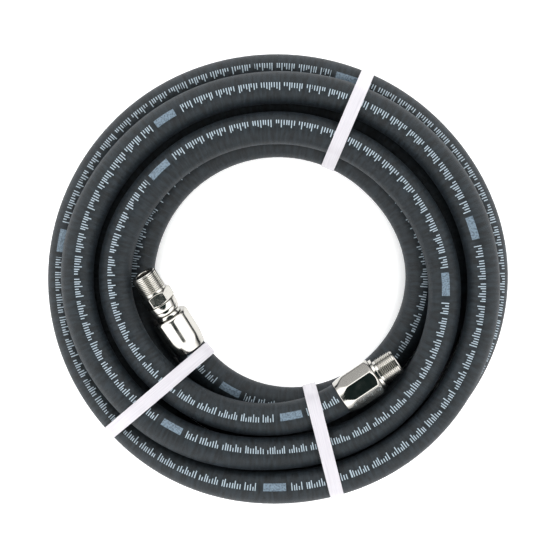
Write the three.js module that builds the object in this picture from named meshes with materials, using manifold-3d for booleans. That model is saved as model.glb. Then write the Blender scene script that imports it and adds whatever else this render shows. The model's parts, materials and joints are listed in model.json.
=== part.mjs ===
// Farm hose: a 3/4 inch bore rubber hose about 5.5 m long, coiled flat in two layers
// and bound with three flat straps. One end has a rigid threaded fitting, the other a swivel.
// Millimetres, +Z up, the coil lies on the floor at Z = 0.

import * as THREE from 'three';
import { mergeVertices } from 'three/examples/jsm/utils/BufferGeometryUtils.js';
import Module from 'manifold-3d';

const wasm = await Module();
wasm.setup();

// Hose
const HOSE_OUTER = 31;
const HOSE_BORE = 19;
const HOSE_SIDES = 12;
const BORE_SIDES = 8;
const SECTION_SPACING = 34;
const FIT = 0.3;

// Coil: radius of the hose's centre line at each eighth of a turn, one row a turn.
// Angles run clockwise seen from above, from the front of the coil (-Y) over its left.
// The first row is the inner turn of the upper layer, the last one the inner turn of the lower layer.
const COIL_RADII = [
  [134.0, 143.8, 155.2, 147.1, 142.8, 145.7, 158.0, 166.2],
  [166.4, 180.9, 191.2, 184.7, 181.3, 187.0, 195.4, 199.0],
  [199.0, 205.2, 207.2, 204.7, 201.2, 202.9, 207.1, 199.6],
  [184.9, 173.0, 170.9, 168.6, 167.2, 168.6, 171.2, 163.6],
  [152.8, 140.8, 135.9, 133.6, 132.6, 134.0, 139.1, 130.8],
  [120.6, 110.6],
];
const EIGHTH = 360 / 8;
const START_ANGLE = -28;
const END_ANGLE = 1852;
const ANGLE_STEP = 4;
const TURN_CLEARANCE = 0.9;
const SMOOTHING = 5;
const LIFTED_ANGLE = 44;

// Ends: heading of each fitting seen from above, its climb, how far it lies clear of the turn outside it,
// and for the fixed end how far above the turns that it lies on, for the swivel end its height at the mouth
const FIXED_END = { heading: 34, climb: 3, aside: 3, above: 0.6 };
const SWIVEL_END = { heading: 121.3, climb: 15.5, aside: 0.4, height: 29 };
const HOSE_INSERTION = 32;

// Straps
const STRAP_WIDTH = 13;
const STRAP_THICKNESS = 0.8;
const STRAP_FACETS = 24;
const STRAPS = {
  strap_upper_right: { angle: 203, aside: 2.4 },
  strap_lower_left: { angle: 49.7, aside: -8.5 },
  strap_lower_right: { angle: -14.2, aside: -3.7 },
};

// Fittings, measured along their axis from the ferrule's mouth
const FERRULE_FLATS = 35.4;
const FERRULE_TURNED = 37.9;
const FERRULE_MOUTH = 33.6;
const FERRULE_CONE = 12;
const FERRULE_CHAMFER = 2.6;
const FERRULE_CLEARANCE = 0.4;
const FERRULE_BORE = HOSE_OUTER + 2 * FERRULE_CLEARANCE;
const FIXED_FERRULE_LENGTH = 39;
const SWIVEL_FERRULE_LENGTH = 37.5;
const STEM_OUTER = 18.4;
const FLOW_BORE = 16;
const STEM_NECK = 23;

// Pipe thread, 3/4 inch, 14 threads an inch, taper 1 in 16
const THREAD_OUTER = 26.67;
const THREAD_PITCH = 25.4 / 14;
const THREAD_DEPTH = 1.1;
const THREAD_TAPER = 1 / 32;
const THREAD_TURNS = 10;
const THREAD_SEGMENTS = 24;
const THREAD_RELIEF = 1.6;

const COLLAR_OUTER = 31;
const COLLAR_LENGTH = 3;
const SWIVEL_NECK_OUTER = 28;
const SWIVEL_NECK_WAIST = 24.4;
const SWIVEL_NECK_LENGTH = 8.5;
const SWIVEL_COLLAR_OUTER = 29.4;
const SWIVEL_COLLAR_LENGTH = 6.5;
const SWIVEL_HEX_FLATS = 27;
const SWIVEL_HEX_LENGTH = 11.5;
const SPIGOT_OUTER = 21;
const SPIGOT_LENGTH = 12;

const OUTER_RADIUS = HOSE_OUTER / 2;
const TURN_DISTANCE = HOSE_OUTER + TURN_CLEARANCE;
const FLOOR_HEIGHT = OUTER_RADIUS + FIT + STRAP_THICKNESS;

const rubber = new THREE.MeshStandardMaterial({ name: 'cover_rubber', color: '#24272b', roughness: 0.7, metalness: 0 });
const plated = new THREE.MeshStandardMaterial({ name: 'plated_metal', color: '#c4c6c9', roughness: 0.22, metalness: 1 });
const strapping = new THREE.MeshStandardMaterial({ name: 'strap_plastic', color: '#ece9f0', roughness: 0.5, metalness: 0 });

// Solids
function solidOf(geometry) {
  const plain = geometry.clone();
  plain.deleteAttribute('normal');
  plain.deleteAttribute('uv');
  const merged = mergeVertices(plain, 1e-4);
  const mesh = new wasm.Mesh({
    numProp: 3,
    vertProperties: new Float32Array(merged.attributes.position.array),
    triVerts: new Uint32Array(merged.index.array),
  });
  return new wasm.Manifold(mesh);
}

function geometryOf(solid) {
  const mesh = solid.getMesh();
  const geometry = new THREE.BufferGeometry();
  geometry.setAttribute('position', new THREE.BufferAttribute(new Float32Array(mesh.vertProperties), 3));
  geometry.setIndex(new THREE.BufferAttribute(new Uint32Array(mesh.triVerts), 1));
  return geometry;
}

// A turned body about +Z from a list of [radius, z]; the list closes on itself
function turned(profile, segments) {
  const points = profile.map(([radius, z]) => new THREE.Vector2(radius, z));
  points.push(points[0].clone());
  const lathe = new THREE.LatheGeometry(points, segments);
  return solidOf(lathe.rotateX(Math.PI / 2));
}

// A prism along +Z with flat sides; turn is the angle of the first flat
function prism(flats, sides, from, to, turn) {
  const corner = flats / 2 / Math.cos(Math.PI / sides);
  const shape = new THREE.Shape();
  for (let i = 0; i < sides; i += 1) {
    const angle = turn + ((i + 0.5) * 2 * Math.PI) / sides;
    const point = [corner * Math.cos(angle), corner * Math.sin(angle)];
    if (i === 0) shape.moveTo(...point);
    else shape.lineTo(...point);
  }
  shape.closePath();
  const body = new THREE.ExtrudeGeometry(shape, { depth: to - from, bevelEnabled: false });
  return solidOf(body.translate(0, 0, from));
}

// Route of the hose, seen from above
function stationRadius(index) {
  const last = Math.floor((END_ANGLE - 1) / EIGHTH);
  if (index < 0) return startRadius();
  if (index > last) return endRadius();
  return COIL_RADII[Math.floor(index / 8)][index % 8];
}

function stationAngle(index) {
  const last = Math.floor((END_ANGLE - 1) / EIGHTH);
  if (index < 0) return START_ANGLE;
  if (index > last) return END_ANGLE;
  return index * EIGHTH;
}

function coilRadius(angle) {
  const index = Math.floor(angle / EIGHTH);
  const [a0, a1, a2, a3] = [-1, 0, 1, 2].map((shift) => stationAngle(index + shift));
  const [r0, r1, r2, r3] = [-1, 0, 1, 2].map((shift) => stationRadius(index + shift));
  const span = a2 - a1;
  const t = (angle - a1) / span;
  const slopeIn = a1 > a0 ? ((r2 - r0) / (a2 - a0)) * span : r2 - r1;
  const slopeOut = a3 > a2 ? ((r3 - r1) / (a3 - a1)) * span : r2 - r1;
  const t2 = t * t;
  const t3 = t2 * t;
  return (2 * t3 - 3 * t2 + 1) * r1 + (t3 - 2 * t2 + t) * slopeIn
    + (3 * t2 - 2 * t3) * r2 + (t3 - t2) * slopeOut;
}

// The fixed end lies inside the second turn, the swivel end inside the lower layer's inner turn
function startRadius() {
  return coilRadius(START_ANGLE + 360) - (HOSE_OUTER + FERRULE_TURNED) / 2 - FIXED_END.aside;
}

function endRadius() {
  return coilRadius(END_ANGLE - 360) - HOSE_OUTER - SWIVEL_END.aside;
}

function onPlan(angle, radius) {
  const a = THREE.MathUtils.degToRad(angle);
  return new THREE.Vector3(-radius * Math.sin(a), -radius * Math.cos(a), 0);
}

function endFrame(end, angle, radius, height) {
  const heading = THREE.MathUtils.degToRad(end.heading);
  const climb = THREE.MathUtils.degToRad(end.climb);
  const origin = onPlan(angle, radius).setZ(height);
  const axis = new THREE.Vector3(
    Math.cos(climb) * Math.cos(heading),
    Math.cos(climb) * Math.sin(heading),
    Math.sin(climb),
  );
  return { origin, axis };
}

function alongAxis(frame, distance) {
  return frame.origin.clone().addScaledVector(frame.axis, distance);
}

// Each turn rests on the floor or on the turns that were laid before it, from the swivel end on
function pileHeights(radii) {
  const turn = 360 / ANGLE_STEP;
  const heights = new Array(radii.length).fill(FLOOR_HEIGHT);
  const firstLaid = radii.length - 1 - Math.round(LIFTED_ANGLE / ANGLE_STEP);
  for (let i = firstLaid; i >= 0; i -= 1) {
    for (let below = i + turn; below <= firstLaid; below += turn) {
      const aside = Math.abs(radii[i] - radii[below]);
      if (aside < TURN_DISTANCE) {
        const rise = Math.sqrt(TURN_DISTANCE ** 2 - aside ** 2);
        heights[i] = Math.max(heights[i], heights[below] + rise);
      }
    }
  }
  return heights;
}

function smoothed(values, reach) {
  return values.map((value, i) => {
    let sum = 0;
    let weight = 0;
    for (let k = -reach; k <= reach; k += 1) {
      const j = Math.min(Math.max(i + k, 0), values.length - 1);
      const w = reach + 1 - Math.abs(k);
      sum += values[j] * w;
      weight += w;
    }
    return sum / weight;
  });
}

const count = Math.round((END_ANGLE - START_ANGLE) / ANGLE_STEP);
const angles = Array.from({ length: count + 1 }, (_, i) => START_ANGLE + i * ANGLE_STEP);
const radii = angles.map(coilRadius);
const plan = angles.map((angle, i) => onPlan(angle, radii[i]));
const pile = pileHeights(radii);

// Height of the fixed end's mouth with its ferrule resting on the turns below it
function restingHeight() {
  const { origin, axis } = endFrame(FIXED_END, START_ANGLE, startRadius(), 0);
  const apart = (HOSE_OUTER + FERRULE_FLATS) / 2 + FIXED_END.above;
  let height = 0;
  for (let i = 360 / ANGLE_STEP; i < plan.length; i += 1) {
    for (let s = 0; s <= FIXED_FERRULE_LENGTH; s += FIXED_FERRULE_LENGTH / 12) {
      const station = origin.clone().addScaledVector(axis, s);
      const aside = Math.hypot(plan[i].x - station.x, plan[i].y - station.y);
      if (aside < apart) height = Math.max(height, pile[i] + Math.sqrt(apart ** 2 - aside ** 2) - station.z);
    }
  }
  return height;
}

const fixedFrame = endFrame(FIXED_END, START_ANGLE, startRadius(), restingHeight());
const swivelFrame = endFrame(SWIVEL_END, END_ANGLE, endRadius(), SWIVEL_END.height);

// Height at which the hose runs straight into a fitting
function lineHeight(point, frame, end) {
  const away = Math.hypot(point.x - frame.origin.x, point.y - frame.origin.y);
  return frame.origin.z - away * Math.tan(THREE.MathUtils.degToRad(end.climb));
}

function coilRoute() {
  const lifted = plan.map((point, i) => {
    if (i < 90 / ANGLE_STEP) return Math.max(pile[i], lineHeight(point, fixedFrame, FIXED_END));
    if (i > count - 90 / ANGLE_STEP) return Math.max(pile[i], lineHeight(point, swivelFrame, SWIVEL_END));
    return pile[i];
  });
  const before = Array.from({ length: SMOOTHING * 2 }, (_, i) => alongAxis(fixedFrame, (SMOOTHING * 2 - i) * 9).z);
  const after = Array.from({ length: SMOOTHING * 2 }, (_, i) => alongAxis(swivelFrame, (i + 1) * 8).z);
  const heights = smoothed([...before, ...lifted, ...after], SMOOTHING).slice(before.length, before.length + plan.length);
  return plan.map((point, i) => point.setZ(heights[i]));
}

// Points along a line of points, a set distance apart
function spaced(points, spacing) {
  const lengths = [0];
  for (let i = 1; i < points.length; i += 1) {
    lengths.push(lengths[i - 1] + points[i].distanceTo(points[i - 1]));
  }
  const total = lengths[lengths.length - 1];
  const count = Math.round(total / spacing);
  const result = [];
  let j = 1;
  for (let i = 0; i <= count; i += 1) {
    const want = (total * i) / count;
    while (j < points.length - 1 && lengths[j] < want) j += 1;
    const t = (want - lengths[j - 1]) / (lengths[j] - lengths[j - 1]);
    result.push(points[j - 1].clone().lerp(points[j], t));
  }
  return result;
}

// A curve whose sections stand exactly on its own points
class StationCurve extends THREE.CatmullRomCurve3 {
  getUtoTmapping(u) {
    return u;
  }
}

const coil = coilRoute();
const fixedLead = alongAxis(fixedFrame, -2);
const swivelLead = alongAxis(swivelFrame, -2);
const openRoute = spaced([fixedLead, ...coil.slice(1, -1), swivelLead], SECTION_SPACING);
const hosePoints = [
  alongAxis(fixedFrame, HOSE_INSERTION),
  alongAxis(fixedFrame, HOSE_INSERTION / 2),
  ...openRoute,
  alongAxis(swivelFrame, HOSE_INSERTION / 2),
  alongAxis(swivelFrame, HOSE_INSERTION),
];

function ring(path, sides, radius) {
  for (let i = 0; i < sides; i += 1) {
    const angle = (i * 2 * Math.PI) / sides;
    const point = [radius * Math.cos(angle), radius * Math.sin(angle)];
    if (i === 0) path.moveTo(...point);
    else path.lineTo(...point);
  }
  path.closePath();
  return path;
}

function hoseBody() {
  const section = ring(new THREE.Shape(), HOSE_SIDES, OUTER_RADIUS);
  const bore = ring(new THREE.Path(), BORE_SIDES, HOSE_BORE / 2 / Math.cos(Math.PI / BORE_SIDES));
  section.holes.push(bore);
  const extrudePath = new StationCurve(hosePoints);
  const body = new THREE.ExtrudeGeometry(section, { steps: hosePoints.length - 1, extrudePath });
  return solidOf(body);
}

// Fittings
function octagonFerrule(length, turn) {
  const outside = turned([
    [0, 0],
    [FERRULE_MOUTH / 2, 0],
    [FERRULE_TURNED / 2, FERRULE_CONE],
    [FERRULE_TURNED / 2, length - FERRULE_CHAMFER],
    [FERRULE_FLATS / 2 - 0.8, length],
    [0, length],
  ], 32);
  const inside = turned([
    [0, -1],
    [FERRULE_BORE / 2, -1],
    [FERRULE_BORE / 2, HOSE_INSERTION + FIT],
    [STEM_NECK / 2 + FIT, HOSE_INSERTION + FIT],
    [STEM_NECK / 2 + FIT, length + 1],
    [0, length + 1],
  ], 32);
  const flats = prism(FERRULE_FLATS, 8, 0, length, turn);
  return outside.intersect(flats).subtract(inside);
}

// Thread rings from the root at z = from towards the tip
function threadProfile(from) {
  const points = [];
  for (let i = 0; i < THREAD_TURNS; i += 1) {
    const z = from + i * THREAD_PITCH;
    const crest = THREAD_OUTER / 2 - (z - from) * THREAD_TAPER;
    points.push([crest - THREAD_DEPTH, z]);
    points.push([crest, z + THREAD_PITCH * 0.44]);
    points.push([crest, z + THREAD_PITCH * 0.56]);
  }
  const end = from + THREAD_TURNS * THREAD_PITCH;
  const root = THREAD_OUTER / 2 - THREAD_TURNS * THREAD_PITCH * THREAD_TAPER - THREAD_DEPTH;
  points.push([root, end]);
  points.push([root, end + 0.5]);
  points.push([root - 0.5, end + 1]);
  return points;
}

const THREAD_LENGTH = THREAD_TURNS * THREAD_PITCH + 1;

function fixedNipple() {
  const stemStart = 4;
  const shoulder = FIXED_FERRULE_LENGTH + FIT;
  const threadStart = shoulder + COLLAR_LENGTH + THREAD_RELIEF;
  const root = THREAD_OUTER / 2 - THREAD_DEPTH;
  const tip = threadStart + THREAD_LENGTH;
  return turned([
    [FLOW_BORE / 2, stemStart],
    [STEM_OUTER / 2, stemStart],
    [STEM_OUTER / 2, HOSE_INSERTION + FIT],
    [STEM_NECK / 2, HOSE_INSERTION + FIT],
    [STEM_NECK / 2, shoulder],
    [COLLAR_OUTER / 2 - 0.5, shoulder],
    [COLLAR_OUTER / 2, shoulder + 0.5],
    [COLLAR_OUTER / 2, shoulder + COLLAR_LENGTH - 0.5],
    [COLLAR_OUTER / 2 - 0.5, shoulder + COLLAR_LENGTH],
    [root, shoulder + COLLAR_LENGTH],
    ...threadProfile(threadStart),
    [FLOW_BORE / 2, tip],
  ], THREAD_SEGMENTS);
}

function swivelStem() {
  const stemStart = 4;
  const shoulder = SWIVEL_FERRULE_LENGTH + FIT;
  const neckEnd = shoulder + SWIVEL_NECK_LENGTH;
  return turned([
    [FLOW_BORE / 2, stemStart],
    [STEM_OUTER / 2, stemStart],
    [STEM_OUTER / 2, HOSE_INSERTION + FIT],
    [STEM_NECK / 2, HOSE_INSERTION + FIT],
    [STEM_NECK / 2, shoulder],
    [SWIVEL_NECK_WAIST / 2 + 0.4, shoulder],
    [SWIVEL_NECK_WAIST / 2, shoulder + 1.2],
    [SWIVEL_NECK_WAIST / 2, neckEnd - 5.1],
    [SWIVEL_NECK_OUTER / 2 - 0.4, neckEnd - 3.9],
    [SWIVEL_NECK_OUTER / 2, neckEnd - 2.5],
    [SWIVEL_NECK_OUTER / 2, neckEnd],
    [SPIGOT_OUTER / 2, neckEnd],
    [SPIGOT_OUTER / 2, neckEnd + SPIGOT_LENGTH],
    [FLOW_BORE / 2, neckEnd + SPIGOT_LENGTH],
  ], THREAD_SEGMENTS);
}

const SWIVEL_FACE = SWIVEL_FERRULE_LENGTH + SWIVEL_NECK_LENGTH + 2 * FIT;

function swivelNipple(turn) {
  const hexStart = SWIVEL_FACE + SWIVEL_COLLAR_LENGTH;
  const hexEnd = hexStart + SWIVEL_HEX_LENGTH;
  const threadStart = hexEnd + THREAD_RELIEF;
  const tip = threadStart + THREAD_LENGTH;
  const root = THREAD_OUTER / 2 - THREAD_DEPTH;
  const socket = SPIGOT_OUTER / 2 + FIT;
  const socketEnd = SWIVEL_FACE + SPIGOT_LENGTH;
  const hexCorner = SWIVEL_HEX_FLATS / 2 / Math.cos(Math.PI / 6);
  const collar = turned([
    [0, SWIVEL_FACE],
    [SWIVEL_COLLAR_OUTER / 2 - 0.6, SWIVEL_FACE],
    [SWIVEL_COLLAR_OUTER / 2, SWIVEL_FACE + 0.6],
    [SWIVEL_COLLAR_OUTER / 2, hexStart - 0.6],
    [SWIVEL_COLLAR_OUTER / 2 - 0.6, hexStart],
    [root, hexStart],
    [root, hexEnd],
    ...threadProfile(threadStart),
    [0, tip],
  ], THREAD_SEGMENTS);
  const hexBlank = turned([
    [0, hexStart - 0.4],
    [hexCorner, hexStart - 0.4],
    [hexCorner + 0.1, hexEnd - 1.6],
    [SWIVEL_HEX_FLATS / 2 - 0.4, hexEnd],
    [0, hexEnd],
  ], 30);
  const hex = hexBlank.intersect(prism(SWIVEL_HEX_FLATS, 6, hexStart - 0.4, hexEnd, turn));
  const passage = turned([
    [0, SWIVEL_FACE - 1],
    [socket, SWIVEL_FACE - 1],
    [socket, socketEnd],
    [FLOW_BORE / 2, socketEnd],
    [FLOW_BORE / 2, tip + 1],
    [0, tip + 1],
  ], THREAD_SEGMENTS);
  return collar.add(hex).subtract(passage);
}

// Places a body made along +Z on a fitting's axis; its own +Y points as far up as it can
function placed(geometry, frame) {
  const side = new THREE.Vector3(0, 0, 1).cross(frame.axis).normalize();
  const up = frame.axis.clone().cross(side).normalize();
  const matrix = new THREE.Matrix4().makeBasis(side, up, frame.axis);
  return geometry.applyMatrix4(matrix.setPosition(frame.origin));
}

// Straps: a closed band round the section of the coil, as tight as the turns allow
function convexOutline(points) {
  const sorted = [...points].sort((a, b) => a.x - b.x || a.y - b.y);
  const turnOf = (o, a, b) => (a.x - o.x) * (b.y - o.y) - (a.y - o.y) * (b.x - o.x);
  const half = (list) => {
    const chain = [];
    for (const point of list) {
      while (chain.length > 1 && turnOf(chain[chain.length - 2], chain[chain.length - 1], point) <= 1e-6) {
        chain.pop();
      }
      chain.push(point);
    }
    chain.pop();
    return chain;
  };
  return [...half(sorted), ...half(sorted.reverse())];
}

function strapBody({ angle, aside }) {
  const outward = onPlan(angle, 1);
  const across = new THREE.Vector3(outward.y, -outward.x, 0);
  const route = spaced(hosePoints, 3);
  const reach = STRAP_WIDTH / 2 + 1;
  const outline = (radius) => {
    const points = [];
    for (let i = 1; i < route.length - 1; i += 1) {
      const along = route[i + 1].clone().sub(route[i - 1]).normalize();
      const side = new THREE.Vector3(0, 0, 1).cross(along).normalize();
      const up = along.clone().cross(side);
      for (let k = 0; k < STRAP_FACETS; k += 1) {
        const a = ((k + 0.5) * 2 * Math.PI) / STRAP_FACETS;
        const r = radius / Math.cos(Math.PI / STRAP_FACETS);
        const point = route[i].clone().addScaledVector(side, r * Math.cos(a)).addScaledVector(up, r * Math.sin(a));
        if (point.dot(outward) > 0 && Math.abs(point.dot(across) - aside) < reach) {
          points.push(new THREE.Vector2(point.dot(outward), point.z));
        }
      }
    }
    return convexOutline(points);
  };
  const band = new THREE.Shape(outline(OUTER_RADIUS + FIT + STRAP_THICKNESS));
  band.holes.push(new THREE.Path(outline(OUTER_RADIUS + FIT)));
  const body = new THREE.ExtrudeGeometry(band, { depth: STRAP_WIDTH, bevelEnabled: false });
  body.translate(0, 0, aside - STRAP_WIDTH / 2);
  const matrix = new THREE.Matrix4().makeBasis(outward, new THREE.Vector3(0, 0, 1), across);
  return geometryOf(solidOf(body.applyMatrix4(matrix)));
}

// Assembly
const farmHose = new THREE.Group();
farmHose.name = 'farm_hose';

function addPiece(name, geometry, material) {
  const mesh = new THREE.Mesh(geometry, material);
  mesh.name = name;
  farmHose.add(mesh);
}

addPiece('hose', geometryOf(hoseBody()), rubber);
const flatUp = Math.PI / 2;
const edgeUp = flatUp + Math.PI / 8;
addPiece('fixed_ferrule', placed(geometryOf(octagonFerrule(FIXED_FERRULE_LENGTH, flatUp)), fixedFrame), plated);
addPiece('fixed_nipple', placed(geometryOf(fixedNipple()), fixedFrame), plated);
addPiece('swivel_ferrule', placed(geometryOf(octagonFerrule(SWIVEL_FERRULE_LENGTH, edgeUp)), swivelFrame), plated);
addPiece('swivel_stem', placed(geometryOf(swivelStem()), swivelFrame), plated);
addPiece('swivel_nipple', placed(geometryOf(swivelNipple(flatUp)), swivelFrame), plated);
for (const [name, strap] of Object.entries(STRAPS)) {
  addPiece(name, strapBody(strap), strapping);
}

const bounds = new THREE.Box3().setFromObject(farmHose);
const middle = bounds.getCenter(new THREE.Vector3());
for (const piece of farmHose.children) {
  piece.geometry.translate(-middle.x, -middle.y, -bounds.min.z);
}

export default farmHose;
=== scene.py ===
"""Farm hose, coiled and strapped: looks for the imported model, in metres, in the model's own frame."""
import json
import math

import bpy
import numpy as np
from mathutils import Matrix, Vector


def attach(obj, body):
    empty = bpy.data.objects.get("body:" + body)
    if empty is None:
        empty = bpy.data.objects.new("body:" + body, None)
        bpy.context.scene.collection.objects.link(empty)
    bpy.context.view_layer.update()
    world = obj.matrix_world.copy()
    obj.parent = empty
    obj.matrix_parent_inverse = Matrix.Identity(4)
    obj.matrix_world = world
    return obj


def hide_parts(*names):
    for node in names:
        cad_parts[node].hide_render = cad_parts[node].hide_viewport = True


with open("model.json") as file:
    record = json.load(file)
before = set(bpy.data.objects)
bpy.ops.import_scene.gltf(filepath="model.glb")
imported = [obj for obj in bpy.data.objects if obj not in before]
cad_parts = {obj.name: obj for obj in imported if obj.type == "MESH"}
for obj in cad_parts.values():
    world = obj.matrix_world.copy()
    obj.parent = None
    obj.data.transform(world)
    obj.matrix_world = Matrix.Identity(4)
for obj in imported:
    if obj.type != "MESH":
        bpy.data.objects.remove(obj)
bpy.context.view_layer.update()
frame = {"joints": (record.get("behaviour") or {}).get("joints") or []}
MM = 0.001

# Sizes in millimetres, as the solids have them
HOSE_OUTER = 31.0
HOSE_BORE = 19.0
STRAP_WIDTH = 13.0
STRAP_THICKNESS = 0.8
# The visible band: how far its inner face stands off the hose, its own thickness, the rounding of its
# edges, the rise of its middle, and how far beyond its edges it is fitted to the hose
BAND_PROUD = 0.15
BAND_THICKNESS = 0.75
BAND_EDGE = 0.22
BAND_CROWN = 0.06
BAND_FITTED_BEYOND = 4
# Each strap: its direction from the coil's middle in degrees, and its offset from that line
STRAPS = {
    "strap_upper_right": (203.0, 2.4), "strap_lower_left": (49.7, -8.5), "strap_lower_right": (-14.2, -3.7),
}
FIT = 0.3
HOSE_INSERTION = 32.0

# The coil: radius of the hose's centre line at each eighth of a turn, one row a turn
COIL_RADII = [
    134.0, 143.8, 155.2, 147.1, 142.8, 145.7, 158.0, 166.2,
    166.4, 180.9, 191.2, 184.7, 181.3, 187.0, 195.4, 199.0,
    199.0, 205.2, 207.2, 204.7, 201.2, 202.9, 207.1, 199.6,
    184.9, 173.0, 170.9, 168.6, 167.2, 168.6, 171.2, 163.6,
    152.8, 140.8, 135.9, 133.6, 132.6, 134.0, 139.1, 130.8,
    120.6, 110.6,
]
START_ANGLE, START_RADIUS = -28.0, 128.776
END_ANGLE, END_RADIUS = 1852.0, 108.217
ANGLE_STEP = 4.0
TURN_CLEARANCE = 0.9
TURN_DISTANCE = HOSE_OUTER + TURN_CLEARANCE
LIFTED_ANGLE = 44.0
SMOOTHING = 5
FIXED_END = {"heading": 34.0, "climb": 3.0, "height": 50.357}
SWIVEL_END = {"heading": 121.3, "climb": 15.5, "height": 29.0}
FLOOR_HEIGHT = HOSE_OUTER / 2 + FIT + STRAP_THICKNESS

# Fittings, measured along their axis from the ferrule's mouth
FERRULE_FLATS = 35.4
FERRULE_TURNED = 37.9
FERRULE_MOUTH = 33.6
FERRULE_CONE = 12.0
FERRULE_CLEARANCE = 0.4
FERRULE_BORE = HOSE_OUTER + 2 * FERRULE_CLEARANCE
FIXED_FERRULE_LENGTH = 39.0
SWIVEL_FERRULE_LENGTH = 37.5
STEM_OUTER = 18.4
FLOW_BORE = 16.0
STEM_NECK = 23.0
THREAD_OUTER = 26.67
THREAD_PITCH = 25.4 / 14
THREAD_DEPTH = 1.1
THREAD_TAPER = 1 / 32
THREAD_TURNS = 10
THREAD_RELIEF = 1.6
THREAD_LENGTH = THREAD_TURNS * THREAD_PITCH + 1
COLLAR_OUTER = 31.0
COLLAR_LENGTH = 3.0
SWIVEL_NECK_OUTER = 28.0
SWIVEL_NECK_WAIST = 24.4
SWIVEL_NECK_LENGTH = 8.5
SWIVEL_COLLAR_OUTER = 29.4
SWIVEL_COLLAR_LENGTH = 6.5
SWIVEL_HEX_FLATS = 27.0
SWIVEL_HEX_LENGTH = 11.5
SPIGOT_OUTER = 21.0
SPIGOT_LENGTH = 12.0
SWIVEL_FACE = SWIVEL_FERRULE_LENGTH + SWIVEL_NECK_LENGTH + 2 * FIT
SWIVEL_TIP = SWIVEL_FACE + SWIVEL_COLLAR_LENGTH + SWIVEL_HEX_LENGTH + THREAD_RELIEF + THREAD_LENGTH

# The printed line: where its bars stand round the coil, and how far it leans to the outside there
BAR_STATIONS = [
    (-5.8, -10), (132.5, 16), (272.4, -1), (394.9, -24), (504.8, 4),
    (615.6, -14), (720.8, -7), (819.9, 14), (919.0, 4),
]
# In the lower layer the print is turned aside under the turns above, then comes up on the inner turn
LOWER_LEANS = [(1010, 40), (1100, 80), (1420, 80), (1505, 70), (1532, 6), (1852, 5)]
PRINT_PERIOD = 361.0
PRINT_HEIGHT = 7.4
BAR_LENGTH = 22.0
# The ink lies this far off the rubber
INK_LIFT = 0.06
# The route's points: their distance, and how often they are averaged with their neighbours
ROUTE_SPACING = 4.0
ROUTE_PASSES = 6


# The table, in metres: its half width, and the glowing parts inside and outside the coil's turns
TABLE_REACH = 4.0
TABLE_GLOW = 0.5
GLOW_INSIDE = (0.112, 0.13)
GLOW_OUTSIDE = (0.2, 0.222)

# The camera: metres above the table, the height in focus, the photograph's pixels and their size there,
# and how far in millimetres it stands from the coil's middle
CAMERA_HEIGHT = 1.6
SHARP_HEIGHT = 0.029
PHOTO_PIXELS = 560
PIXEL_SIZE = 0.96
SENSOR_WIDTH = 36.0
CAMERA_ASIDE = (1.9, -1.9)


# Route of the hose
def on_plan(angle, radius):
    """A point of the plan: 0 degrees is towards the viewer, 90 to the left."""
    a = np.radians(angle)
    return np.stack([-radius * np.sin(a), -radius * np.cos(a), 0 * a], -1)


def end_frame(end, angle, radius):
    """The point on a fitting's axis at its mouth, and the axis, before the whole is centred."""
    heading, climb = math.radians(end["heading"]), math.radians(end["climb"])
    origin = on_plan(np.float64(angle), radius)
    origin[2] = end["height"]
    axis = np.array([
        math.cos(climb) * math.cos(heading),
        math.cos(climb) * math.sin(heading),
        math.sin(climb),
    ])
    return origin, axis


FIXED_ORIGIN, FIXED_AXIS = end_frame(FIXED_END, START_ANGLE, START_RADIUS)
SWIVEL_ORIGIN, SWIVEL_AXIS = end_frame(SWIVEL_END, END_ANGLE, END_RADIUS)


def coil_radius(angle):
    """A cubic through the stations, as in the solids."""
    stations = [START_ANGLE] + [45.0 * i for i in range(len(COIL_RADII))] + [END_ANGLE]
    radii = [START_RADIUS] + COIL_RADII + [END_RADIUS]
    i = min(max(int(math.floor(angle / 45.0)) + 1, 0), len(stations) - 2)
    a1, a2, r1, r2 = stations[i], stations[i + 1], radii[i], radii[i + 1]
    span = a2 - a1
    t = (angle - a1) / span
    slope_in = r2 - r1
    slope_out = r2 - r1
    if i > 0:
        slope_in = (r2 - radii[i - 1]) / (a2 - stations[i - 1]) * span
    if i + 2 < len(stations):
        slope_out = (radii[i + 2] - r1) / (stations[i + 2] - a1) * span
    return (
        (2 * t**3 - 3 * t**2 + 1) * r1 + (t**3 - 2 * t**2 + t) * slope_in
        + (3 * t**2 - 2 * t**3) * r2 + (t**3 - t**2) * slope_out
    )


def pile_heights(radii):
    """Each turn rests on the floor or on the turns laid before it, from the swivel end on."""
    turn = round(360 / ANGLE_STEP)
    heights = [FLOOR_HEIGHT] * len(radii)
    first_laid = len(radii) - 1 - round(LIFTED_ANGLE / ANGLE_STEP)
    for i in range(first_laid, -1, -1):
        for below in range(i + turn, first_laid + 1, turn):
            aside = abs(radii[i] - radii[below])
            if aside < TURN_DISTANCE:
                heights[i] = max(heights[i], heights[below] + math.sqrt(TURN_DISTANCE**2 - aside**2))
    return heights


def smoothed(values, reach):
    """Values averaged with their neighbours, nearer ones counting for more."""
    padded = [values[0]] * reach + list(values) + [values[-1]] * reach
    weights = [reach + 1 - abs(k) for k in range(-reach, reach + 1)]
    return np.convolve(padded, np.array(weights) / sum(weights), "valid")


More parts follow.
